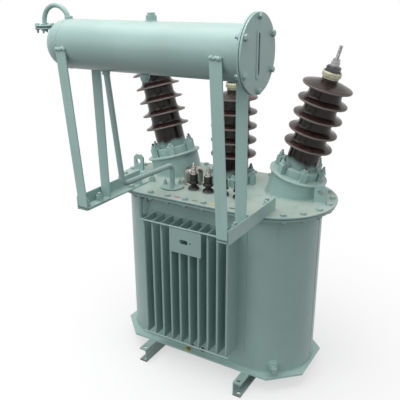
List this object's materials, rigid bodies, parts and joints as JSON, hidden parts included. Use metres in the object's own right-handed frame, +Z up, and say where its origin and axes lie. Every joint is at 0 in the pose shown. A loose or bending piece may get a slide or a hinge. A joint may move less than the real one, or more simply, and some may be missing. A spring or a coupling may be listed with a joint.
{
  "type": "pole mounted transformer",
  "caption": "Oil-filled pole-mounted distribution transformer with finned oval tank, overhung conservator drum, leaning high-voltage bushings and channel skids.",
  "frame": {"origin": "on the ground, at the centre of the four bolt holes in the skids", "axes": "+Z up, X along the tank and the conservator, -Y toward the low-voltage side and the conservator"},
  "size_m": [1.0054, 0.8975, 1.5455],
  "materials": {
    "paint_tank": "satin grey-green paint, weathered",
    "paint_cover": "satin grey-green paint under dust",
    "paint_frame": "satin grey-green paint, chipped at edges",
    "paint_fittings": "satin grey-green paint",
    "paint_cast": "grey-green paint on castings",
    "gasket": "matt black",
    "gauge_glass": "dark glass strip",
    "brown_porcelain": "dark brown glaze",
    "black_porcelain": "near-black brown glaze",
    "plated_ring": "dull yellow plating",
    "bright_steel": "bright zinc",
    "brass_bolt": "tarnished brass",
    "spun_aluminium": "dull spun aluminium"
  },
  "bodies": {
    "root": {"skid_left": "paint_frame", "skid_right": "paint_frame", "base_plate": "paint_frame", "tank_wall": "paint_tank", "tank_rim": "paint_tank", "cover_gasket": "gasket", "tank_cover": "paint_cover", "fin_panel_front": "paint_tank", "fin_panel_rear": "paint_tank", "fin_tie_bars": "paint_tank", "blank_bracket": "paint_tank", "lifting_lugs": "paint_fittings", "tank_hooks": "paint_fittings", "drain_valve": "paint_fittings", "earth_bolt": "brass_bolt", "arm_left": "paint_frame", "arm_right": "paint_frame", "strap_left": "paint_frame", "strap_right": "paint_frame", "conservator_shell": "paint_tank", "conservator_dish": "paint_tank", "conservator_flange": "paint_tank", "conservator_gasket": "gasket", "conservator_cover": "paint_tank", "gauge_glass": "gauge_glass", "filler_cap": "paint_fittings", "conservator_stub": "paint_fittings", "breather_pipe": "paint_fittings", "breather_gasket": "gasket", "breather_flange": "paint_fittings", "oil_pipe": "paint_fittings", "oil_pipe_gasket": "gasket", "turret_left": "paint_tank", "turret_right": "paint_tank", "turret_plate_left": "paint_tank", "turret_plate_right": "paint_tank", "hv_porcelain_left": "brown_porcelain", "hv_porcelain_middle": "brown_porcelain", "hv_porcelain_right": "brown_porcelain", "hv_foot_rings": "paint_cast", "hv_clamps": "paint_cast", "hv_seals": "plated_ring", "hv_terminals": "bright_steel", "lv_porcelains": "black_porcelain", "lv_terminals": "bright_steel", "tap_dome": "spun_aluminium"}
  },
  "joints": []
}
